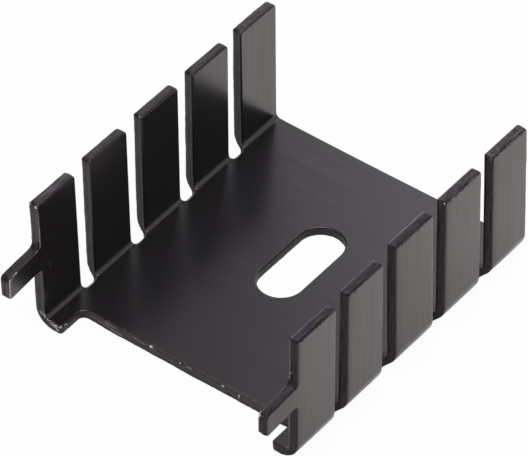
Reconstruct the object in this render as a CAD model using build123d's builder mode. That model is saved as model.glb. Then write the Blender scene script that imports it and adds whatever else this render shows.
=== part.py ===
"""Finned U-shaped heat sink for a board-mounted transistor, blanked and folded from one aluminium sheet.

All sizes are in millimetres. X runs across the channel, +Y from the solder legs towards the back,
and +Z from the underside towards the fin tips. The origin is the centre of the screw slot on the underside.
"""

from build123d import *
from math import cos, radians, sin
import os

# Sheet and folds. The punch bites into the corner, so the fold is thinner there than the flat sheet.
sheet_thickness = 0.75
fold_inner_radius = 0.3
fold_outer_radius = 1.55
edge_roll_radius = 0.12

# Channel
channel_width = 21.7
wall_height = 10.9

# Fins, counted along one wall
fin_count = 5
fin_width = 3.9
fin_gap = 1.4
fin_tip_radius = 0.15
gap_corner_radius = 0.4
gap_foot_angle = 32.0
gap_overrun = 0.05

# Screw slot in the floor
slot_width = 3.3
slot_length = 7.6
slot_to_front = 14.6

# Recess in the floor's front edge, where the transistor's leads leave. A tongue is left beside each fold.
recess_depth = 2.2
recess_corner_radius = 0.4
tongue_width = 1.1
tongue_corner_radius = 0.3

# Solder legs on the two front fins
leg_width = 1.85
leg_length = 3.2
leg_height = 6.05
leg_root_radius = 0.35
leg_underside_radius = 0.25
leg_tip_chamfer = 0.2

# Worked out from the sizes above
body_length = fin_count * fin_width + (fin_count - 1) * fin_gap
pitch = fin_width + fin_gap
half_width = channel_width / 2
front_y = -slot_to_front
clear = sheet_thickness
touch = 0.001

fold_start_x = half_width - sheet_thickness - fold_inner_radius
recess_width = 2 * (fold_start_x - tongue_width)

# The two ends of a gap's foot: in the floor's top just short of the fold, and part way round the outside
foot_inner_x = fold_start_x - gap_overrun
foot_inner_z = sheet_thickness
foot_outer_x = half_width - fold_outer_radius + fold_outer_radius * sin(radians(gap_foot_angle))
foot_outer_z = fold_outer_radius - fold_outer_radius * cos(radians(gap_foot_angle))
foot_line = Vector(foot_outer_x - foot_inner_x, 0, foot_outer_z - foot_inner_z).normalized()

# One gap: it stands open above the fin tips and ends in a foot with rounded corners
with BuildPart() as gap_cutter:
    with BuildSketch(Plane.XZ):
        with BuildLine():
            Polyline(
                (foot_inner_x - clear * foot_line.X, foot_inner_z - clear * foot_line.Z),
                (foot_outer_x + clear * foot_line.X, foot_outer_z + clear * foot_line.Z),
                (half_width + clear, foot_outer_z + clear * foot_line.Z),
                (half_width + clear, wall_height + clear),
                (foot_inner_x - clear * foot_line.X, wall_height + clear),
                close=True,
            )
        make_face()
    extrude(amount=fin_gap / 2, both=True)
    fillet(gap_cutter.edges().filter_by(Axis((0, 0, 0), foot_line)), radius=gap_corner_radius)

# One solder leg, drawn on the outer face of a wall with a piece of the fin behind it
with BuildPart() as leg:
    with BuildSketch(Plane.YZ.offset(half_width - sheet_thickness)):
        root_height = leg_width + 2 * (leg_root_radius + leg_underside_radius)
        with Locations((front_y, leg_height)):
            Rectangle(fin_width / 2, root_height, align=(Align.MIN, Align.CENTER))
            Rectangle(leg_length, leg_width, align=(Align.MAX, Align.CENTER))
        upper_root = (front_y, leg_height + leg_width / 2)
        lower_root = (front_y, leg_height - leg_width / 2)
        fillet(vertices().sort_by_distance(upper_root)[0], radius=leg_root_radius)
        fillet(vertices().sort_by_distance(lower_root)[0], radius=leg_underside_radius)
        chamfer(vertices().group_by(Axis.X)[0], length=leg_tip_chamfer)
    extrude(amount=sheet_thickness)

with BuildPart() as heat_sink:
    # Floor and both walls: the section of the folded sheet, drawn as one half and mirrored
    with BuildSketch(Plane.XZ.offset(-front_y)):
        with BuildLine():
            outside = Line((0, 0), (half_width - fold_outer_radius, 0))
            outer_fold = RadiusArc(outside @ 1, (half_width, fold_outer_radius), -fold_outer_radius)
            wall = Polyline(
                outer_fold @ 1,
                (half_width, wall_height),
                (half_width - sheet_thickness, wall_height),
                (half_width - sheet_thickness, sheet_thickness + fold_inner_radius),
            )
            inner_fold = RadiusArc(wall @ 1, (fold_start_x, sheet_thickness), fold_inner_radius)
            Polyline(inner_fold @ 1, (0, sheet_thickness), (0, 0))
        make_face()
        mirror(about=Plane.YZ)
    extrude(amount=-body_length)

    # Solder legs, one on each wall
    add(leg.part)
    add(mirror(leg.part, about=Plane.YZ, mode=Mode.PRIVATE))

    # Gaps between the fins of both walls
    first_gap_y = front_y + fin_width + fin_gap / 2
    for gap in range(fin_count - 1):
        with Locations((0, first_gap_y + gap * pitch, 0)):
            add(gap_cutter.part, mode=Mode.SUBTRACT)
            add(mirror(gap_cutter.part, about=Plane.YZ, mode=Mode.PRIVATE), mode=Mode.SUBTRACT)

    # Screw slot, and the recess between the two tongues at the front
    with BuildSketch():
        SlotOverall(slot_length, slot_width, rotation=90)
        with Locations((0, front_y)):
            recess = Rectangle(recess_width, 2 * recess_depth)
        fillet(recess.vertices().group_by(Axis.Y)[-1], radius=recess_corner_radius)
    extrude(amount=sheet_thickness, mode=Mode.SUBTRACT)

    # Corners of the blank: the tongues beside the recess, and the fin tips
    tongue_edges = edges().filter_by(Axis.Z).filter_by_position(Axis.Y, front_y - touch, front_y + touch)
    fillet(tongue_edges.filter_by_position(Axis.Z, 0, sheet_thickness), radius=tongue_corner_radius)
    fillet(edges().filter_by(Axis.X).group_by(Axis.Z)[-1], radius=fin_tip_radius)

    # The punch enters on the inside of the channel, so the rim of every inside face is rolled over
    floor_top = faces().filter_by(Plane.XY).filter_by_position(
        Axis.Z, sheet_thickness - touch, sheet_thickness + touch
    )
    inside_x = half_width - sheet_thickness
    upright = faces().filter_by(Plane.YZ)
    right_inside = upright.filter_by_position(Axis.X, inside_x - touch, inside_x + touch)
    left_inside = upright.filter_by_position(Axis.X, -inside_x - touch, -inside_x + touch)
    inner_folds = faces().filter_by(GeomType.CYLINDER).filter_by(
        lambda face: face.axis_of_rotation.is_parallel(Axis.Y)
        and abs(face.radius - fold_inner_radius) < touch
    )
    inside_edges = (floor_top + right_inside + left_inside + inner_folds).edges()
    rim = inside_edges.filter_by(lambda edge: sum(edge.is_same(other) for other in inside_edges) == 1)
    fillet(rim, radius=edge_roll_radius)

heat_sink.part.label = "heat_sink"
os.makedirs("parts", exist_ok=True)
export_step(heat_sink.part, "parts/heat_sink.step")
print("heat sink", heat_sink.part.bounding_box().size, "volume", round(heat_sink.part.volume, 1))
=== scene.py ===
# %% [markdown]
# This script finishes a small heat sink: one aluminium sheet, punched to a blank with ten fins, a screw
# slot and two solder legs, folded up to a U and anodised black. The packed solid is loaded first and stays
# as it is. Its box gives the overall sizes, so that the finished surface lies where the solid lies. Lengths
# are in millimetres until the mesh is filled, because that is how such a part is drawn.

# %% Load the packed model
import math

import bpy
import numpy as np
from mathutils import Matrix, Vector, geometry


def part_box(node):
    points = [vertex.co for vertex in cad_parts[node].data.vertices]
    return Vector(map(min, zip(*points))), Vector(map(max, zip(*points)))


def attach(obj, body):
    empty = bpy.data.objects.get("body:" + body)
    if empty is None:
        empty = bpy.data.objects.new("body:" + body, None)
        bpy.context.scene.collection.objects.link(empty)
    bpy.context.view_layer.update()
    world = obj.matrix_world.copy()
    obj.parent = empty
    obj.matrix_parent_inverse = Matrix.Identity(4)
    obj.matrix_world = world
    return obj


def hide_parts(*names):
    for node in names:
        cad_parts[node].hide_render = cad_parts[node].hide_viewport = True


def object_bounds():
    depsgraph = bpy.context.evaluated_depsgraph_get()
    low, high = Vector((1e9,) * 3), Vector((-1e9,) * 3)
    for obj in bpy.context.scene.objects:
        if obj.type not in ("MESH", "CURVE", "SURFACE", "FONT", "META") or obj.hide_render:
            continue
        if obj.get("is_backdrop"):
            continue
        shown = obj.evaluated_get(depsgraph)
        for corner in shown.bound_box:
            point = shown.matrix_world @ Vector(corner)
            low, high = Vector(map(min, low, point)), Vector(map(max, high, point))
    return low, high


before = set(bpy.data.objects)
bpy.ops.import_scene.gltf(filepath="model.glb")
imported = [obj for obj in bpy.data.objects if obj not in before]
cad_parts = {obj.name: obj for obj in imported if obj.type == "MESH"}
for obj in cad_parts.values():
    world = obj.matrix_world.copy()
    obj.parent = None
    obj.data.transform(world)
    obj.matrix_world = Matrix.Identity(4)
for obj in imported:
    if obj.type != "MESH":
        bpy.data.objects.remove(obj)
cad_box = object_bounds()
low, high = (np.array(corner) * 1000 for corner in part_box("heat_sink"))
print("solid, in millimetres, from", low.round(3), "to", high.round(3))

# %% [markdown]
# The camera comes next, because everything else is judged through it. The photograph was taken with a long
# lens from the front right, looking down at about 43 degrees. A camera can be turned by eye, but then every
# correction moves the whole picture. Here two angles and a small roll give its three axes, and a distance
# places it from a target point in the channel, so that each of them can be corrected by itself.

# %% Axes of the camera
camera_azimuth = math.radians(38.16)
camera_elevation = math.radians(43.01)
camera_roll = math.radians(-0.70)

back = Vector((
    math.sin(camera_azimuth) * math.cos(camera_elevation),
    -math.cos(camera_azimuth) * math.cos(camera_elevation),
    math.sin(camera_elevation),
))
level_right = Vector((math.cos(camera_azimuth), math.sin(camera_azimuth), 0))
level_up = back.cross(level_right)
right = level_right * math.cos(camera_roll) + level_up * math.sin(camera_roll)
up = level_up * math.cos(camera_roll) - level_right * math.sin(camera_roll)
print("the camera looks from", [round(part, 3) for part in back])

# %% [markdown]
# The focal length is given in pixels of the photograph, because that is how the size of the object in the
# picture is compared. The width of the camera's sensor turns it into millimetres of lens.

# %% Camera
photo_width_px = 528
focal_length_px = 5637.0
camera_distance = 0.3722
camera_target = Vector((-0.001496, -0.002043, 0.004527))

camera_data = bpy.data.cameras.new("camera")
camera_data.lens = focal_length_px * camera_data.sensor_width / photo_width_px
camera = bpy.data.objects.new("camera", camera_data)
axes = Matrix((right, up, back)).transposed().to_4x4()
camera.matrix_world = Matrix.Translation(camera_target + back * camera_distance) @ axes
bpy.context.scene.collection.objects.link(camera)
bpy.context.scene.camera = camera
print("lens", round(camera_data.lens, 1), "mm, camera at", camera.matrix_world.translation)

# %% [markdown]
# The anodised finish is made of masks: where an edge is sheared, where it is worn, how far up a fin a point
# lies. Nodes for their sums can be placed one by one, but then nobody can read the sums. A small class
# wraps a socket instead and lets Python's own operators add the Math nodes. One method adds every other
# kind of node: it takes the type, the settings, and then the values or links of the sockets.


# %% A socket with operators
class Socket:
    """An output socket of a node. An expression on it adds the Math nodes that work the expression out."""

    def __init__(self, tree, output=None):
        self.tree = tree
        self.output = output

    def node(self, kind, settings=None, out=0, **inputs):
        """Adds a node of this kind, sets its settings, then gives its inputs their values or links.

        An input goes by its name, with underscores for spaces, or by i and its number. The result is the
        output called out.
        """
        made = self.tree.nodes.new(kind)
        for name, value in (settings or {}).items():
            setattr(made, name, value)
        for name, value in inputs.items():
            socket = made.inputs[int(name[1:]) if name[1:].isdigit() else name.replace("_", " ")]
            if isinstance(value, Socket):
                self.tree.links.new(value.output, socket)
            else:
                socket.default_value = value
        return Socket(self.tree, made.outputs[out] if made.outputs else None)

    def math(self, operation, *others):
        """The result of a Math node on this socket and the others."""
        values = {f"i{place}": value for place, value in enumerate((self, *others))}
        return self.node("ShaderNodeMath", {"operation": operation}, **values)

    def __add__(self, other):
        return self.math("ADD", other)

    def __radd__(self, other):
        return self.math("ADD", other)

    def __sub__(self, other):
        return self.math("SUBTRACT", other)

    def __rsub__(self, other):
        return self.node("ShaderNodeMath", {"operation": "SUBTRACT"}, i0=other, i1=self)

    def __mul__(self, other):
        return self.math("MULTIPLY", other)

    def __rmul__(self, other):
        return self.math("MULTIPLY", other)

    def __truediv__(self, other):
        return self.math("DIVIDE", other)

    def __pow__(self, power):
        return self.math("POWER", power)

    def at_least(self, other):
        return self.math("MAXIMUM", other)

    def at_most(self, other):
        return self.math("MINIMUM", other)

    def between(self, low_value, high_value):
        """0 below the low value, 1 above the high one and a smooth rise between them."""
        smooth = {"interpolation_type": "SMOOTHSTEP"}
        return self.node("ShaderNodeMapRange", smooth, Value=self, From_Min=low_value, From_Max=high_value)


print("methods of a socket:", [name for name in vars(Socket) if not name.startswith("_")])

# %% [markdown]
# The finished surface is made the way the real part is: a flat blank first, then the folds. Boxes could be
# joined and bevelled into the same shape, but the marks of the punch would not run round their corners in
# one piece. The channel's floor isn't quite flat: it bows down by a tenth of a millimetre in the middle,
# and the walls stand that much higher on their folds, so the walls themselves are shorter by the bow.

# %% Sheet and walls
sheet = 0.75
bow = 0.1
half_width = high[0]
wall_height = high[2] - bow
back_y = high[1]
leg_end_y = low[1]
print("half width", round(half_width, 3), "wall height", round(wall_height, 3))

# %% [markdown]
# The blank is measured along its middle plane, where the sheet keeps its length while it is bent. Each fold
# takes up a zone that starts on the floor and ends on the wall. The face inside the fold is short there and
# the face outside it is long, and the mean of the two lengths is the zone's length in the blank.

# %% Fold zone
inner_radius = 0.3
outer_radius = 1.55
fold_reach = 1.85
fold_start = half_width - fold_reach
inner_tangent = half_width - sheet - inner_radius
outer_tangent = half_width - outer_radius
inner_length = (inner_tangent - fold_start) + inner_radius * math.pi / 2 + (fold_reach - sheet - inner_radius)
outer_length = (outer_tangent - fold_start) + outer_radius * math.pi / 2 + (fold_reach - outer_radius)
zone_length = (inner_length + outer_length) / 2


def flat(height):
    """Distance of a height on the wall from the blank's middle line: the zone's end plus what is above it."""
    return fold_start + zone_length + height - fold_reach


print("fold zone", round(zone_length, 3), "mm, fin tips", round(flat(wall_height), 3), "mm from the middle")

# %% [markdown]
# A gap between two fins runs into the fold and ends there in a foot. Seen from the front end of a fold the
# foot slants: inside the channel it ends just short of the bend, and outside about a third of the way round
# it. Both ends are kept as parts of the zone's length, so that the foot can be a plain straight cut in the
# blank.

# %% Foot of a gap
foot_overrun = 0.05
foot_angle = math.radians(32)
foot_inner_part = (inner_tangent - foot_overrun - fold_start) / inner_length
foot_outer_part = (outer_tangent + outer_radius * foot_angle - fold_start) / outer_length
gap_foot = fold_start + foot_inner_part * zone_length
print("foot at", round(foot_inner_part, 3), "of the zone inside and", round(foot_outer_part, 3), "outside")

# %% [markdown]
# Now the blank's own sizes. The fin row is counted from the back, where the solid's box ends, and the legs
# are what is left in front of it.

# %% Fins, legs, recess and slot in the blank
fin_count = 5
fin_width = 3.9
fin_gap = 1.4
pitch = fin_width + fin_gap
front_y = back_y - fin_count * fin_width - (fin_count - 1) * fin_gap
tip = flat(wall_height)

leg_width = 1.85
leg_height = 6.05
leg_low = flat(leg_height - leg_width / 2)
leg_high = flat(leg_height + leg_width / 2)
leg_length = front_y - leg_end_y
leg_tip_cut = 0.2
leg_tip_radius = 0.16

tongue_width = 1.1
recess_side = inner_tangent - tongue_width
recess_depth = 2.2
slot_radius = 1.65
slot_reach = 3.8
print("fin row from", round(front_y, 3), "to", round(back_y, 3), "legs", round(leg_length, 3), "mm long")

# %% [markdown]
# The outline of the blank is a closed loop of corners, each with its radius. It runs with the sheet on its
# left: along the front, up the right side from fin to fin, and back down the left side. The real blank was
# cut a little unevenly: the back edges of the right fins stand off their places by up to a quarter of a
# millimetre, and the recess is deeper on the left. The screw slot is a second loop, and it runs the other
# way round, so that the sheet is on its left too.

# %% Corners of the loops
recess_radius = 0.4
tongue_radius = 0.3
leg_underside_radius = 0.25
leg_root_radius = 0.35
gap_radius = 0.4
front_tip_radius = 0.15
back_tip_radius = 0.35


def side_corners(recess, wider):
    """Corners (across, along, radius) of the right side, from the recess to the last fin.

    The recess is this deep, and each fin's back edge is moved by its number in wider.
    """
    corners = [
        (recess_side, front_y + recess, recess_radius),
        (recess_side, front_y, tongue_radius),
        (leg_low, front_y, leg_underside_radius),
        (leg_low, leg_end_y + leg_tip_cut, leg_tip_radius),
        (leg_low + leg_tip_cut, leg_end_y, leg_tip_radius),
        (leg_high - leg_tip_cut, leg_end_y, leg_tip_radius),
        (leg_high, leg_end_y + leg_tip_cut, leg_tip_radius),
        (leg_high, front_y, leg_root_radius),
    ]
    for fin in range(fin_count):
        fin_y = front_y + fin * pitch
        fin_end = fin_y + fin_width + wider[fin]
        corners += [(tip, fin_y, front_tip_radius), (tip, fin_end, back_tip_radius)]
        if fin < fin_count - 1:
            corners += [(gap_foot, fin_end, gap_radius), (gap_foot, fin_y + pitch, gap_radius)]
    return corners


right_side = side_corners(recess_depth - 0.04, [0.15, -0.07, 0.25, 0.1, 0])
left_side = side_corners(recess_depth + 0.05, [0, 0, 0, 0, 0])
blank = right_side + [(-across, along, radius) for across, along, radius in reversed(left_side)]
slot = [
    (-slot_radius, -slot_reach, slot_radius),
    (-slot_radius, slot_reach, slot_radius),
    (slot_radius, slot_reach, slot_radius),
    (slot_radius, -slot_reach, slot_radius),
]
print("corners of the blank", len(blank), "and of the slot", len(slot))

# %% [markdown]
# Between its corners the outline needs points of its own, because it will be bent. A modifier that
# subdivides would place them evenly. Here the steps are short in the fold zones, where the bend needs them,
# and longer on the flat stretches.

# %% Points of a straight stretch
fold_step = 0.07
plain_step = 0.14


def step_at(across):
    """Distance wanted between neighbouring points: the short one in the fold zones, the long one outside."""
    in_fold = np.abs(np.abs(across) - fold_start - zone_length / 2) < zone_length / 2
    return np.where(in_fold, fold_step, plain_step)


def straight(start, end):
    """Points strictly between two ends. Their count per millimetre is the inverse of the step wanted."""
    share = np.linspace(0, 1, 400)
    across = start[0] + (end[0] - start[0]) * share
    density = np.linalg.norm(end - start) / step_at(across)
    count = np.concatenate([[0], np.cumsum((density[1:] + density[:-1]) / 2 * np.diff(share))])
    steps = max(round(count[-1]), 1)
    chosen = np.interp(np.arange(1, steps) * count[-1] / steps, count, share)
    return start + (end - start) * chosen[:, None]


zone_ends = np.array([[fold_start, 0], [fold_start + zone_length, 0]])
print("points across one fold zone", len(straight(*zone_ends)))

# %% [markdown]
# Punches and dies wear round at their corners, so each corner of the blank is an arc. The loop keeps, with
# every point, the direction into the sheet: the profile of the sheared edge is laid out along it further
# down.

# %% Loops with rounded corners
arc_step = math.radians(11)
least_gap = 1e-4


def rounded_loop(corners):
    """Points of a closed loop of corners (across, along, radius), and their normals into the sheet.

    An arc replaces each corner. It takes the radius times the tangent of half the turn off both sides, and
    its points are the centre minus the radius times the normal, while the normal turns.
    """
    corners = np.array(corners)
    place, radius = corners[:, :2], corners[:, 2]
    ahead = np.roll(place, -1, axis=0) - place
    ahead /= np.linalg.norm(ahead, axis=1)[:, None]
    before = np.roll(ahead, 1, axis=0)
    turn = np.arctan2(before[:, 0] * ahead[:, 1] - before[:, 1] * ahead[:, 0], (before * ahead).sum(axis=1))
    trim = (radius * np.tan(np.abs(turn) / 2))[:, None]
    arc_start = place - before * trim
    arc_end = place + ahead * trim
    points, normals = [], []
    for i in range(len(place)):
        steps = math.ceil(abs(turn[i]) * max(1 / arc_step, radius[i] / plain_step))
        angle = np.linspace(0, turn[i], steps + 1)
        inward = np.array([-before[i][1], before[i][0]])
        turned = np.outer(np.cos(angle), inward) - np.outer(np.sin(angle), before[i])
        line = straight(arc_end[i], arc_start[(i + 1) % len(place)])
        points += [arc_start[i] + math.copysign(radius[i], turn[i]) * (inward - turned), line]
        normals += [turned, np.tile([-ahead[i][1], ahead[i][0]], (len(line), 1))]
    points, normals = np.concatenate(points), np.concatenate(normals)
    apart = np.linalg.norm(np.roll(points, -1, axis=0) - points, axis=1) > least_gap
    return points[apart], normals[apart]


loops = [rounded_loop(blank), rounded_loop(slot)]
print("points along the outline and the slot:", [len(points) for points, normals in loops])

# %% [markdown]
# The blank was punched from the side that became the inside of the channel, and its edges show it. The rim
# of the inside face is rolled over, a smooth band follows, and the rest broke off: it is rough, slopes back
# a little and ends in an uneven edge. A Bevel modifier would give every edge the same round rim. The rows
# below give an inset and a depth each, and are carried along both loops.

# %% Profile of the sheared edge
roll = 0.12
support = 0.145
quarter = np.linspace(0, math.pi / 2, 6)
rolled_rows = np.stack([roll * (1 - np.sin(quarter)), roll * (1 - np.cos(quarter))], axis=1)
smooth_rows = [(0, 0.19), (0, 0.27)]
broken_rows = [(0, 0.32), (0.001, 0.4), (0.003, 0.48), (0.007, 0.55), (0.015, 0.61), (0.03, 0.67)]
edge_rows = [(0.06, 0.72), (0.105, 0.75)]
profile = np.array([(support, 0), *rolled_rows, *smooth_rows, *broken_rows, *edge_rows, (support, sheet)])
roughness_of_row = np.interp(profile[:, 1], [0.2, 0.4, 0.72, 0.75], [0, 1, 1, 0.5])
print("rows of the edge profile:", len(profile))

# %% [markdown]
# The broken part of the edge wanders. Displacing it with a texture would open seams between neighbouring
# edges, so the rows are moved before they become a mesh, by random numbers that start from the same seed
# each run.

# %% Rims along the loops
random = np.random.default_rng(7)
grain_height = 0.014
wave_height, wave_length = 0.014, 0.5
long_wave_height, long_wave_length = 0.03, 1.6


def rim(points, normals):
    """Flat points, depths and runs of all profile rows along a loop, row by row.

    The run is the distance along the loop. A broken row's inset changes from point to point, in waves and in
    long waves, each by its own height.
    """
    step = np.linalg.norm(np.roll(points, -1, axis=0) - points, axis=1)
    run = np.cumsum(step) - step
    wave, long_wave = (
        np.interp(run / length, np.arange(1000), random.uniform(-1, 1, 1000))
        for length in (wave_length, long_wave_length)
    )
    grain = random.uniform(-1, 1, (len(profile), len(points)))
    moved = grain_height * grain + wave_height * wave + long_wave_height * long_wave
    inset = np.minimum(profile[:, :1] + moved * roughness_of_row[:, None], support)
    across_along = points + inset[:, :, None] * normals
    depth = np.repeat(profile[:, 1:] / sheet, len(points), axis=1)
    return across_along.reshape(-1, 2), depth.ravel(), np.tile(run, len(profile))


rims = [rim(points, normals) for points, normals in loops]
print("points of the rims:", [len(places) for places, depth, run in rims])

# %% [markdown]
# Both faces of the sheet will be filled with triangles between the innermost rows of the rims. Points on a
# grid stiffen them, closely spaced in the fold zones. Which points lie in the sheet is found by the
# even-odd rule: a line from a point inside crosses the outline an odd number of times. Points close to a
# rim would make thin triangles and are left out.

# %% Grid inside the sheet
outline = [points + support * normals for points, normals in loops]
edge_points = np.concatenate(outline)
floor_step = 0.5
wall_step = 0.45
margin = 0.2
batches = 40
fold_lines = fold_start + np.linspace(0, zone_length, 34)
floor_lines = np.arange(0.3, fold_start - margin, floor_step)
wall_lines = np.arange(fold_lines[-1] + wall_step, tip, wall_step)
half_lines = np.concatenate([floor_lines, fold_lines, wall_lines])
both_sides = np.concatenate([-half_lines[::-1], half_lines])
grid = np.stack(np.meshgrid(both_sides, np.arange(leg_end_y, back_y, wall_step)), axis=-1).reshape(-1, 2)


def crossings(places):
    """How often a line from each place towards larger distances across cuts the outline.

    It cuts each edge whose two ends lie on different sides of its level, where the edge meets that level
    further across than the place.
    """
    count = np.zeros(len(places), int)
    for start in outline:
        end = np.roll(start, -1, axis=0)
        for some in np.array_split(np.arange(len(places)), batches):
            level = places[some, 1:]
            spans = (start[:, 1] > level) != (end[:, 1] > level)
            rise = np.where(end[:, 1] == start[:, 1], 1, end[:, 1] - start[:, 1])
            cut = start[:, 0] + (level - start[:, 1]) / rise * (end[:, 0] - start[:, 0])
            count[some] += (spans & (cut > places[some, :1])).sum(axis=1)
    return count


grid = grid[crossings(grid) % 2 == 1]
nearest = np.concatenate([
    np.linalg.norm(some[:, None] - edge_points, axis=2).min(axis=1)
    for some in np.array_split(grid, batches)
])
grid = grid[nearest > margin]
print("grid points inside the sheet", len(grid))

# %% [markdown]
# The two faces have the same outline in the blank, so they share one plan of triangles. A Delaunay
# triangulation with the outline as fixed edges gives triangles that are as full as the points allow, where
# filling the outline as one polygon would give slivers from end to end. The triangles outside the sheet are
# dropped by the same rule.

# %% Triangles of the two faces
plan = np.concatenate([edge_points, grid])
borders, first = [], 0
for points in outline:
    numbers = first + np.arange(len(points))
    borders.append(np.stack([numbers, np.roll(numbers, -1)], axis=1))
    first += len(points)
borders = np.concatenate(borders).tolist()
result = geometry.delaunay_2d_cdt([Vector(place) for place in plan], borders, [], 0, 1e-7)
made_points, made_triangles, made_from = result[0], np.array(result[2]), result[3]
if len(made_points) != len(plan) or any(len(numbers) != 1 for numbers in made_from):
    print("PROBLEM: the plan gained or lost points", len(made_points), len(plan))
triangles = np.array([numbers[0] for numbers in made_from])[made_triangles]
triangles = triangles[crossings(plan[triangles].mean(axis=1)) % 2 == 1]

first_side = plan[triangles[:, 1]] - plan[triangles[:, 0]]
second_side = plan[triangles[:, 2]] - plan[triangles[:, 0]]
areas = (first_side[:, 0] * second_side[:, 1] - first_side[:, 1] * second_side[:, 0]) / 2
print("plan of", len(plan), "points and", len(triangles), "triangles,", round(areas.sum(), 1), "mm2 in all")

# %% [markdown]
# Folding carries a flat point and a depth into space. An armature or a bend modifier could do it, but
# neither knows that the outer face is stretched and the inner one is squeezed. Here each face follows a
# line, an arc and a line, and a point at some depth lies that far from the inner face towards the outer
# one. A small sine moves the outer face along the zone. It is nothing at the zone's ends, and at the gaps'
# feet it gives them their slant.

# %% One face of the fold
skew = (foot_outer_part - foot_inner_part) / math.sin(2 * math.pi * foot_inner_part)


def fold_curve(distance, tangent_x, radius, base_z):
    """x and z at a distance along one face: a line to the tangent point, a quarter circle, a line upwards."""
    angle = np.clip((distance - tangent_x) / radius, 0, math.pi / 2)
    x = np.minimum(distance, tangent_x) + radius * np.sin(angle)
    z = base_z + radius * (1 - np.cos(angle)) + np.maximum(distance - tangent_x - radius * math.pi / 2, 0)
    return np.stack([x, z])


def folded_section(reach, depth):
    """x and z of a distance from the middle line and a depth.

    That is the inner face's point plus the depth's share of the way to the outer face's point.
    """
    start = np.minimum(reach, fold_start)
    part = np.clip((reach - fold_start) / zone_length, 0, 1)
    past = np.maximum(reach - fold_start - zone_length, 0)
    outer_part = part + skew * np.sin(2 * math.pi * part)
    inner = fold_curve(start + part * inner_length + past, inner_tangent, inner_radius, sheet)
    outer = fold_curve(start + outer_part * outer_length + past, outer_tangent, outer_radius, 0)
    return inner + depth * (outer - inner)


print("skew of the outer face", round(skew, 3), "of the zone, fin tip at", folded_section(tip, 1.0).round(3))

# %% [markdown]
# Hardly a fin of this copy stands quite upright or square to the row. Each one leans across the channel and
# sweeps along it, in millimetres at its tip. The legs droop, the right one is bent inwards as well, and
# their lengths differ a little. Such differences are what tells a real folded part from a drawing.

# %% Lean, sweep and droop
right_lean = np.array([0.1, 0.0, -0.2, -0.18, -0.28])
right_sweep = np.array([0.05, 0.11, 0.12, 0.21, 0.25])
left_lean = np.array([-0.08, -0.08, -0.06, -0.02, -0.06])
left_sweep = np.array([-0.11, -0.02, 0.09, 0.13, 0.12])
right_leg_droop, left_leg_droop = 0.5, 0.3
right_leg_stretch, left_leg_stretch = 0.94, 1.02
right_leg_bend = -0.15
softness = 0.06


def fold(places, depth):
    """Points in space of flat places at depths from 0 on the inner face to 1 on the outer one.

    The folded section gives x and z. A fin's lean and sweep grow from nothing at its foot, slowly over the
    softness and then evenly. A leg's droop, bend and stretch grow evenly from its root, and the bow with the
    square of x.
    """
    side = np.sign(places[:, 0])
    reach = np.abs(places[:, 0])
    along = places[:, 1]
    x, z = folded_section(reach, depth)
    fin_number = np.clip(np.rint((along - front_y - fin_width / 2) / pitch), 0, fin_count - 1).astype(int)
    rise = np.clip((reach - gap_foot) / (tip - gap_foot), 0, None)
    weight = (1 + softness) * rise ** 2 / (rise + softness)
    lean = np.where(side > 0, right_lean[fin_number], left_lean[fin_number])
    sweep = np.where(side > 0, right_sweep[fin_number], left_sweep[fin_number])
    on_leg = np.clip(front_y - along, 0, None)
    droop = np.where(side > 0, right_leg_droop, left_leg_droop) * on_leg / leg_length
    bend = np.where(side > 0, right_leg_bend, 0) * on_leg / leg_length
    stretch = (np.where(side > 0, right_leg_stretch, left_leg_stretch) - 1) * on_leg
    y = along - stretch + sweep * weight
    z = z - droop + bow * (x / half_width) ** 2
    x = side * x + lean * weight + bend
    return np.stack([x, y, z], axis=1)


grid_count = len(grid)
flat_places = np.concatenate([places for places, depth, run in rims] + [grid, grid])
depths = np.concatenate([depth for places, depth, run in rims] + [np.zeros(grid_count), np.ones(grid_count)])
runs = np.concatenate([run for places, depth, run in rims] + [np.zeros(2 * grid_count)])
points = fold(flat_places, depths)
print("folded from", points.min(axis=0).round(3), "to", points.max(axis=0).round(3))

# %% [markdown]
# The faces only join numbers. Along each loop, four-sided faces join a profile row to the next one. The
# plan is laid twice between the innermost rows: as it is on the inner face, and with its triangles turned
# round on the outer one, so that both faces point out of the metal and the surface is closed.

# %% Faces
quads, inner_ring, outer_ring, first = [], [], [], 0
for loop_points, normals in loops:
    count = len(loop_points)
    numbers = first + np.arange(len(profile) * count).reshape(len(profile), count)
    ahead = np.roll(numbers, -1, axis=1)
    quads.append(np.stack([numbers[:-1], numbers[1:], ahead[1:], ahead[:-1]], axis=-1).reshape(-1, 4))
    inner_ring.append(numbers[0])
    outer_ring.append(numbers[-1])
    first += numbers.size
quads = np.concatenate(quads)
inner_numbers = np.concatenate(inner_ring + [first + np.arange(grid_count)])
outer_numbers = np.concatenate(outer_ring + [first + grid_count + np.arange(grid_count)])
faces = [*quads.tolist(), *inner_numbers[triangles].tolist(), *outer_numbers[triangles][:, ::-1].tolist()]
print("vertices", len(points), "triangles in all", 2 * len(quads) + 2 * len(triangles))

# %% [markdown]
# The mesh keeps what the material has to know about each point: the place in the blank as its UV, and as
# attributes the depth in the sheet, the run along the edge, and how far it belongs to a sheared edge. A
# pattern that follows these goes round the folds with the metal, which a pattern in space would not.

# %% The mesh
mesh = bpy.data.meshes.new("folded_sheet")
mesh.from_pydata((points / 1000).tolist(), [], faces)
mesh.shade_smooth()
corner_vertex = np.empty(len(mesh.loops), np.int32)
mesh.loops.foreach_get("vertex_index", corner_vertex)
uv_layer = mesh.uv_layers.new(name="blank")
uv_layer.uv.foreach_set("vector", flat_places[corner_vertex].astype(np.float32).ravel())


def keep(name, values):
    """Stores one number per vertex."""
    mesh.attributes.new(name, "FLOAT", "POINT").data.foreach_set("value", values.astype(np.float32))


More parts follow.
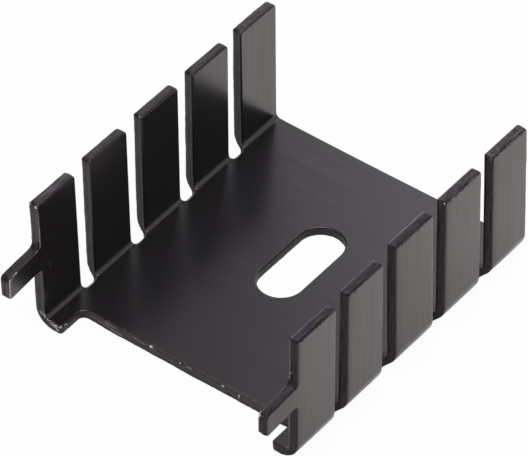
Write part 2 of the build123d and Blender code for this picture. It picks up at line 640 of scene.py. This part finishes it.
row_sheared = np.interp(profile[:, 1], [0.08, 0.14, 0.71, 0.75], [0, 1, 1, 0])
rim_sheared = [np.repeat(row_sheared, len(loop_points)) for loop_points, normals in loops]
keep("depth", depths)
keep("run", runs)
keep("sheared", np.concatenate(rim_sheared + [np.zeros(2 * grid_count)]))
print("vertices on edges", sum(map(len, rim_sheared)), "and on the faces", 2 * grid_count)

# %% [markdown]
# Where the black layer was rubbed off in handling, bare aluminium shows: at the tips of the legs, on the left
# front fin's rims, at the left fold's front end, in specks along the recess, and on single corners elsewhere.
# Noise alone would put such wear anywhere, so its places are listed. Each is a short line in space with a
# start, an end, a radius and a strength. At a strength of 1 or more nearly the whole line is bare, and at
# less only flecks of it are.

# %% Worn places
worn_places = [
    ((-10.85, -14.7, 10.8), (-10.75, -14.65, 10.85), 0.14, 0.9),
    ((-10.35, -14.7, 10.8), (-10.3, -14.65, 10.7), 0.16, 1.1),
    ((-10.25, -14.6, 10.7), (-10.15, -14.6, 7.3), 0.14, 0.75),
    ((-10.8, -14.65, 10.7), (-10.8, -14.65, 7.6), 0.14, 0.65),
    ((-10.2, -17.8, 4.9), (-10.2, -17.8, 6.6), 0.15, 0.95),
    ((-10.85, -17.8, 4.9), (-10.85, -17.8, 6.6), 0.15, 0.8),
    ((-10.85, -17.7, 6.65), (-10.2, -17.7, 6.65), 0.15, 0.95),
    ((-10.2, -17.7, 6.65), (-10.2, -17.0, 6.8), 0.13, 0.9),
    ((-9.25, -14.55, 0.72), (-8.85, -14.5, 0.72), 0.13, 1.2),
    ((-8.82, -14.45, 0.72), (-8.74, -14.05, 0.72), 0.13, 1.2),
    ((-10.4, -14.6, 1.3), (-9.0, -14.6, 0.45), 0.35, 0.8),
    ((-6.9, -12.42, 0.74), (-5.9, -12.42, 0.74), 0.16, 0.93),
    ((-4.6, -12.42, 0.74), (-3.2, -12.42, 0.74), 0.15, 0.95),
    ((-2.95, -12.36, 0.75), (-2.9, -12.4, 0.75), 0.18, 1.3),
    ((-2.53, -12.4, 0.75), (-2.5, -12.4, 0.75), 0.14, 1.0),
    ((-8.3, -12.5, 0.7), (-5.5, -12.45, 0.3), 0.3, 0.74),
    ((-0.55, -12.39, 0.7), (-0.45, -12.39, 0.7), 0.14, 1.0),
    ((0.0, -12.42, 0.74), (0.5, -12.42, 0.74), 0.14, 1.0),
    ((3.05, -12.4, 0.72), (3.1, -12.4, 0.72), 0.14, 1.0),
    ((4.43, -12.4, 0.7), (4.45, -12.4, 0.4), 0.13, 0.95),
    ((9.95, -17.42, 6.5), (10.05, -17.45, 6.35), 0.3, 1.5),
    ((10.35, -17.5, 6.45), (10.4, -17.5, 6.4), 0.14, 0.9),
    ((10.2, -14.6, 7.7), (10.5, -14.6, 8.1), 0.14, 0.75),
    ((10.1, -9.15, 10.85), (10.15, -9.2, 10.8), 0.14, 0.8),
    ((10.65, -3.65, 10.75), (10.7, -3.7, 10.6), 0.14, 0.85),
    ((10.55, 1.55, 10.85), (10.6, 1.5, 10.7), 0.14, 0.9),
    ((10.85, 1.45, 5.3), (10.85, 1.45, 5.1), 0.12, 0.8),
    ((10.85, 1.4, 3.8), (10.85, 1.4, 3.7), 0.12, 0.8),
    ((-10.35, -3.85, 10.85), (-10.4, -3.8, 10.85), 0.14, 0.85),
    ((-1.6, -2.75, 0.73), (-1.65, -2.7, 0.7), 0.12, 0.7),
]


def near(places, lines):
    """How strongly each place is marked by the lines.

    A line gives its strength up to a third of its radius away, falling to 0 at the radius. The distance is
    that to the nearest point between its ends. Of several lines, the strongest counts.
    """
    marked = np.zeros(len(places))
    for start, end, radius, strength in lines:
        start, line = np.array(start), np.subtract(end, start)
        share = np.clip((places - start) @ line / (line @ line), 0, 1)
        away = np.linalg.norm(places - start - share[:, None] * line, axis=1)
        here = strength * np.clip(1.5 - 1.5 * away / radius, 0, 1)
        marked = np.where(np.abs(here) > np.abs(marked), here, marked)
    return marked


worn_values = near(points, worn_places)
keep("worn", worn_values)
print("worn places", len(worn_places), "vertices marked", int((worn_values > 0).sum()))

# %% [markdown]
# Shade and highlights are painted as soft marks of another kind. A positive strength paints shade, which
# makes a place dull and darker: the corner at the root of the right leg, the floor beside the right gaps'
# feet, where it dulls their glints, and, faintly, the tip of one left fin. A negative one paints a highlight,
# which makes a place paler, as on the tips of four other fins.

# %% Places of painted shade and painted highlight
soiled_places = [
    ((10.3, -14.65, 7.2), (10.8, -14.65, 7.05), 0.28, 0.8),
    ((9.8, -9.2, 0.8), (10.0, -8.8, 0.9), 0.5, 0.75),
    ((9.8, -4.0, 0.8), (10.0, -3.5, 0.9), 0.5, 0.75),
    ((9.8, 1.3, 0.8), (10.0, 1.7, 0.9), 0.5, 0.75),
    ((9.8, 6.6, 0.8), (10.0, 7.0, 0.9), 0.5, 0.75),
    ((-10.4, 1.8, 10.9), (-10.4, 5.2, 10.9), 0.6, 0.3),
    ((10.4, 1.7, 10.9), (10.4, 5.2, 10.9), 0.6, -1.8),
    ((10.4, 7.0, 10.9), (10.4, 10.4, 10.9), 0.6, -3.0),
    ((-10.4, 7.0, 10.9), (-10.4, 10.4, 10.9), 0.6, -1.5),
    ((-10.4, -14.0, 10.9), (-10.4, -11.0, 10.9), 0.6, -1.5),
]
soiled_values = near(points, soiled_places)
keep("soiled", soiled_values)
print("darker vertices", int((soiled_values > 0).sum()), "paler vertices", int((soiled_values < 0).sum()))

# %% [markdown]
# The finished mesh becomes an object that stands for the packed solid, which is hidden. It rides on the root
# body.

# %% The folded sheet takes the solid's place
mesh.validate()
body = bpy.data.objects.new("folded_sheet", mesh)
bpy.context.scene.collection.objects.link(body)
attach(body, "root")
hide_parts("heat_sink")
print("folded sheet with", len(mesh.polygons), "faces")

# %% [markdown]
# The stage is a plain pale floor, as on a product table. It has to come out white in the picture while the
# object is lit at a plain level, and more light would only wash out the black. So the floor is matt and
# lit, but glows with a strength of 1 for the rays that come straight from the camera or through an opening.
# A twentieth of the lit floor is kept there, and with it the object's shadow. For glossy rays a tenth
# glows, because the metal mostly mirrors the lit floor. The floor lies a hair below the object, so that the
# two never share a plane.

# %% Floor
floor_half = 1.5
floor_z = -0.00002
floor_corners = [(-1, -1), (1, -1), (1, 1), (-1, 1)]
floor_mesh = bpy.data.meshes.new("floor")
floor_places = [(x * floor_half, y * floor_half, floor_z) for x, y in floor_corners]
floor_mesh.from_pydata(floor_places, [], [(0, 1, 2, 3)])
floor = bpy.data.objects.new("floor", floor_mesh)
bpy.context.scene.collection.objects.link(floor)
floor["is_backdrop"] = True


def ray(nodes, kind):
    """1 for rays of this kind and 0 for all others."""
    return nodes.node("ShaderNodeLightPath", out=f"Is {kind} Ray")


floor_material = bpy.data.materials.new("pale floor")
floor_material.use_nodes = True
floor_material.node_tree.nodes.clear()
nodes = Socket(floor_material.node_tree)
lit = nodes.node("ShaderNodeBsdfDiffuse", Color=(0.88, 0.85, 0.81, 1))
glow = nodes.node("ShaderNodeEmission", Color=(1, 1, 1, 1), Strength=1.0)
seen_straight = ray(nodes, "Camera") + ray(nodes, "Transmission")
share = seen_straight * 0.95 + ray(nodes, "Glossy") * 0.1
nodes.node("ShaderNodeOutputMaterial", Surface=nodes.node("ShaderNodeMixShader", i0=share, i1=lit, i2=glow))
floor_mesh.materials.append(floor_material)
print("floor", 2 * floor_half, "m wide")

# %% [markdown]
# The world is the white room round the table. It lights the object at about a third of white, which leaves
# the shaping to the lamps, and past the floor's edge it is seen as white itself. The gloss sees it a little
# brighter than the matt surfaces do.

# %% World
world = bpy.data.worlds.new("studio")
world.use_nodes = True
world.node_tree.nodes.clear()
nodes = Socket(world.node_tree)
room_level = 0.35
seen_straight = ray(nodes, "Camera") + ray(nodes, "Transmission")
level = room_level + seen_straight * (1 - room_level) + ray(nodes, "Glossy") * 0.05
background = nodes.node("ShaderNodeBackground", Color=(1, 1, 1, 1), Strength=level)
nodes.node("ShaderNodeOutputWorld", Surface=background)
bpy.context.scene.world = world
print("world at", room_level)

# %% [markdown]
# Three softboxes light the object. The large one above lights everything evenly. A small cool one stands
# close behind, where a camera's ray goes on after it meets the channel's floor: its soft image makes the
# floor grey at the back and right and leaves it black at the front left. The third stands low at the left
# and brightens the tops of the left fins. Point lamps would do the same work with hard highlights, which
# the photograph hasn't.


# %% Softboxes
def softbox(name, place, width, height, power, colour=(1, 1, 1)):
    """An oblong area lamp at a place, in metres, that faces the object."""
    lamp = bpy.data.lights.new(name, "AREA")
    lamp.shape = "RECTANGLE"
    lamp.size = width
    lamp.size_y = height
    lamp.energy = power
    lamp.color = colour
    holder = bpy.data.objects.new(name, lamp)
    holder.location = place
    holder.rotation_euler = (-Vector(place)).to_track_quat("-Z", "Y").to_euler()
    bpy.context.scene.collection.objects.link(holder)
    print(name, "with", power, "W at", round(Vector(place).length, 3), "m")


softbox("softbox above", (0.08, -0.04, 0.55), 0.4, 0.4, 1.9)
softbox("softbox behind", (-0.051, 0.1745, 0.1075), 0.112, 0.162, 0.067, (0.95, 0.95, 1))
softbox("softbox low at the left", (-0.29, 0.23, 0.146), 0.2, 0.15, 0.2)
bpy.context.scene.view_settings.view_transform = "Standard"

# %% [markdown]
# The finish is a black anodic layer: hard, thin and slightly translucent on brushed metal. One surface
# shader can carry all of it. Its patterns are set out on the blank: across it, along it, through its depth,
# and along its edges. The noise gets those coordinates already scaled, so one number for each direction
# says how many features there are to a millimetre.

# %% Coordinates of the finish
material = bpy.data.materials.new("black anodised")
material.use_nodes = True
shader = material.node_tree.nodes["Principled BSDF"]
finish = Socket(material.node_tree)
blank_place = finish.node("ShaderNodeUVMap", {"uv_map": "blank"})
across = finish.node("ShaderNodeSeparateXYZ", out="X", i0=blank_place)
along = finish.node("ShaderNodeSeparateXYZ", out="Y", i0=blank_place)


def attribute(name):
    """A number that the mesh keeps for each vertex."""
    return finish.node("ShaderNodeAttribute", {"attribute_name": name}, out="Fac")


def noise(x, y, z=0.0, detail=2.0, roughness=0.5):
    """Noise from 0 to 1 with one feature per unit of each coordinate."""
    vector = finish.node("ShaderNodeCombineXYZ", X=x, Y=y, Z=z)
    return finish.node("ShaderNodeTexNoise", Vector=vector, Scale=1.0, Detail=detail, Roughness=roughness)


def vary(pattern, amount):
    """A change about 0: the pattern less its mean of a half, times the amount."""
    return (pattern - 0.5) * amount


depth = attribute("depth")
run = attribute("run")
reach = across.math("ABSOLUTE")
print("nodes for the coordinates", len(material.node_tree.nodes))

# %% [markdown]
# The sheet's faces keep fine lines from the rolling mill, which run across the channel and up the fins. A
# coarser pattern with the same direction stands for brushing before the bath, a slow mottle for the bath
# itself, and a grain for the metal. The sheared edges have their own: streaks that the punch drew through
# the thickness, specks, blotches, and layers where the metal tore. Such lines could be an image, but noise
# stretched in one direction does as well and has no end.

# %% Patterns of the faces and edges
rolling = noise(across * 0.12, along * 7.0, depth * 3, detail=3.0)
brushed = noise(across * 0.1, along * 2.6, depth * 3, detail=3.0)
mottle = noise(across * 0.5, along * 0.5, depth * 3, detail=4.0)
grain = noise(across * 14.0, along * 14.0, depth * 14)
streak = noise(run * 7.0, depth * 1.1, detail=3.0)
speck = noise(run * 12.0, depth * 9.0)
blotch = noise(run * 4.0, depth * 3.5, detail=4.0, roughness=0.65)
layer = noise(run * 0.7, depth * 7.0)
print("nodes with the patterns", len(material.node_tree.nodes))

# %% [markdown]
# The mask of the sheared edges comes with the mesh. Two more places look like them: the outer rims of the
# fin tips, where the breaking metal took chips of the face with it, and the rim of the recess, which is
# frayed. Both borders are a straight line that a ragged noise pushes to and fro by up to a few tenths of a
# millimetre.

# %% Sheared, chipped and frayed metal
ragged = noise(across * 3.0, along * 3.0, detail=4.0, roughness=0.7)
to_tip = tip - reach
chipped = (0.18 + vary(ragged, 1.7) - to_tip).between(-0.05, 0.05) * depth.between(0.8, 0.95)

behind_recess = along - (front_y + recess_depth)
beside_recess = reach.between(recess_side - 0.5, recess_side - 0.1)
frayed = (0.2 + vary(ragged, 1.4) - behind_recess).between(-0.1, 0.1) * (1 - beside_recess) * (1 - depth)
sheared = attribute("sheared").at_least(chipped * 0.8).at_least(frayed * 0.8)
print("the frayed rim lies", round(front_y + recess_depth, 2), "mm along the blank")

# %% [markdown]
# Bare metal shows where a place is worn and a fleck of fine noise agrees, so that wear breaks up into specks
# as it does on the real rims. The painted shade is smooth, and here only makes its place dull; its darkening
# and the painted highlight's paler tone come with the colour. Along the inner corner of each fold runs a
# narrow line with soft sides: in part it is rubbed by the tool that folded it, which makes it a little
# rougher and takes off some of the top layer, and in part it is a painted highlight, slightly warm and paler.

# %% Bare metal, painted shade, and the fold lines' rubbed and painted highlight
worn = attribute("worn")
fleck = noise(across * 13.0, along * 13.0, depth * 10, detail=3.0, roughness=0.65)
bare = (worn + vary(fleck, 1.8)).between(0.75, 0.9) * worn.at_most(1.0)
# Painted shade and painted highlight: where positive it dulls the gloss here, and the colour below darkens
# it.
soiled = attribute("soiled")
dull = soiled.between(0.0, 1.0)

# The fold line: partly rubbed, partly a painted highlight along the inner corner of each fold.
fold_mark_middle = fold_start + zone_length / 2 + 0.03
fold_mark_half_width = 0.28
rubbed_and_painted_fold_highlight = (1 - ((reach - fold_mark_middle) / fold_mark_half_width) ** 2).at_least(0.0) * (1 - depth)
print("the rubbed line lies", round(fold_mark_middle, 2), "mm from the blank's middle")

# %% [markdown]
# One pale ellipse lies on the inside of the left front fin. It is a millimetre tall and a quarter as wide,
# brightest in its middle.

# %% Pale ellipse on the left front fin
smudge_height = 5.0
smudge_y = -13.7
up_smudge = (across + flat(smudge_height)) / 0.5
along_smudge = (along - smudge_y) / 0.14
smudge = (1 - up_smudge ** 2 - along_smudge ** 2).at_least(0.0) * (1 - depth)
print("smudge", smudge_height, "mm up the wall at y", smudge_y)

# %% [markdown]
# The outer faces of the fins are shaded as if domed: they fall away towards the front and back edges, most
# of all over the last 0.8 mm at the front. The faces mirror the pale floor at a slant, and where they turn
# towards the viewer they mirror less of it, which is the soft dark ramp beside each front edge. The fall is
# about a quarter of a millimetre in all. In the mesh it would change the fins' outlines, which are right as
# they are, so it is a height for the bump, made of squares of the distance from the edges. A leg's root has
# no edge to fall away to and is left out.

# %% Domed outer faces
from_front = (along - front_y).math("MODULO", pitch)
ramp_width, lip_width, back_width, crown_at = 0.8, 0.4, 0.25, 2.6
front_ramp = (1 - from_front / ramp_width).at_least(0.0) ** 2 * -45.0
front_lip = (1 - from_front / lip_width).at_least(0.0) ** 2 * -80.0
back_ramp = (1 - (fin_width - from_front) / back_width).at_least(0.0) ** 2 * -8.0
crown = (from_front - crown_at) ** 2 * -8.0

beside_leg = reach.between(leg_low - 0.4, leg_low) * (1 - reach.between(leg_high, leg_high + 0.4))
leg_root = beside_leg * (1 - along.between(front_y + 0.7, front_y + 1.0))
above_foot = reach.between(gap_foot + 0.1, gap_foot + 0.6)
dome = ((front_ramp + front_lip) * (1 - leg_root) + back_ramp + crown) * above_foot * depth
print("nodes with the masks", len(material.node_tree.nodes))

# %% [markdown]
# Roughness and colour follow the masks. The faces are satin and almost black, the sheared edges are rougher
# and a little paler in streaks, and bare flecks are metal. The black leans to purple, as many anodic blacks
# do, and less so on the fold lines' painted highlight and where the rim is frayed. A varying input takes a
# link, and an even one takes its number directly, because then the exported model keeps it.

# %% Roughness and colour
satin = 0.235


def give(name, value):
    """Links a socket to an input of the surface shader, or sets the input itself to a number or colour."""
    if isinstance(value, Socket):
        material.node_tree.links.new(value.output, shader.inputs[name])
    else:
        shader.inputs[name].default_value = value


face_roughness = satin + vary(rolling, 0.09) + vary(mottle, 0.05) + rubbed_and_painted_fold_highlight * 0.04 + dull * 0.3
sheared_roughness = 0.48 + vary(streak, 0.2)
give("Roughness", face_roughness * (1 - sheared) + sheared_roughness * sheared)
give("Metallic", bare * 0.9)

# The fold line's added tone is a painted highlight.
face_tone = 0.0065 + vary(mottle, 0.003) + smudge * 0.03 + rubbed_and_painted_fold_highlight * 0.045
sheared_tone = 0.015 + vary(streak, 0.03) + vary(blotch, 0.1) + vary(layer, 0.1) + frayed * 0.03
# The tone is scaled by the painted shade and highlight: darker where it is positive, paler where it is
# negative.
tone = (face_tone * (1 - sheared) + sheared_tone * sheared) * (1 - soiled * 0.8).at_least(0.0)
# The warmth is that of the painted fold highlight and of the frayed rim.
warmth = rubbed_and_painted_fold_highlight + frayed
green = tone * (0.87 + warmth * 0.05)
blue = tone * (0.97 - warmth * 0.15)
black = finish.node("ShaderNodeCombineColor", i0=tone, i1=green, i2=blue)
aluminium = (0.8, 0.78, 0.75, 1)
colour = finish.node("ShaderNodeMix", {"data_type": "RGBA"}, out=2, i0=bare, i6=black, i7=aluminium)
give("Base Color", colour)
print("inputs with links:", [socket.name for socket in shader.inputs if socket.is_linked])

# %% [markdown]
# The gloss has two layers: the anodic film, whose reflection is faintly purple, and the sealed surface on
# top of it. Each reflects a few hundredths of the light straight on, where one denser layer would look like
# enamel, and together they mirror the floor well at a slant. The upper layer is missing on sheared, bare
# and dull metal, and its strength varies with the brushing.

# %% Gloss in two layers
film_ior = 1.43
seal_ior = 1.4
give("IOR", film_ior)
give("Specular Tint", (0.98, 0.8, 1, 1))
sealed = (1 - sheared) * (1 - bare) * (1 - dull) * (1 - rubbed_and_painted_fold_highlight * 0.2)
give("Coat Weight", sealed * (0.65 + brushed * 0.7))
give("Coat IOR", seal_ior)
give("Coat Roughness", satin)
print("straight on, the film reflects", round(((film_ior - 1) / (film_ior + 1)) ** 2, 3))

# %% [markdown]
# One height collects what is too fine for the mesh: the rolling lines and the grain of the faces, the marks
# of the sheared edges, the dome, and the outward slope of the broken part of an edge. The bump's distance,
# in metres, makes one unit of it one and a half thousandths of a millimetre.

# %% Bump
broken_slope = (depth - 0.4).at_least(0.0) * -100.0
face_height = rolling * 0.8 + grain * 0.4
sheared_height = streak * 3.0 + speck * 2.5 + blotch * 8.0 + layer * 8.0
height = face_height * (1 - sheared) + sheared_height * sheared + broken_slope + dome
height_unit = 0.0000015
give("Normal", finish.node("ShaderNodeBump", Height=height, Distance=height_unit, Strength=1.0))
mesh.materials.append(material)
print("nodes in the finish", len(material.node_tree.nodes))

# %% [markdown]
# Last, the high corner of the finished surface's box is set against that of the solid, and the difference is
# printed. The surface may stand a few tenths of a millimetre proud, where a fin leans outwards, and no more.

# %% Sizes and end
visual_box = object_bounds()
proud = (np.array(visual_box[1]) - np.array(cad_box[1])) * 1000
print("at the high corner the finished surface stands proud by", proud.round(2), "mm")
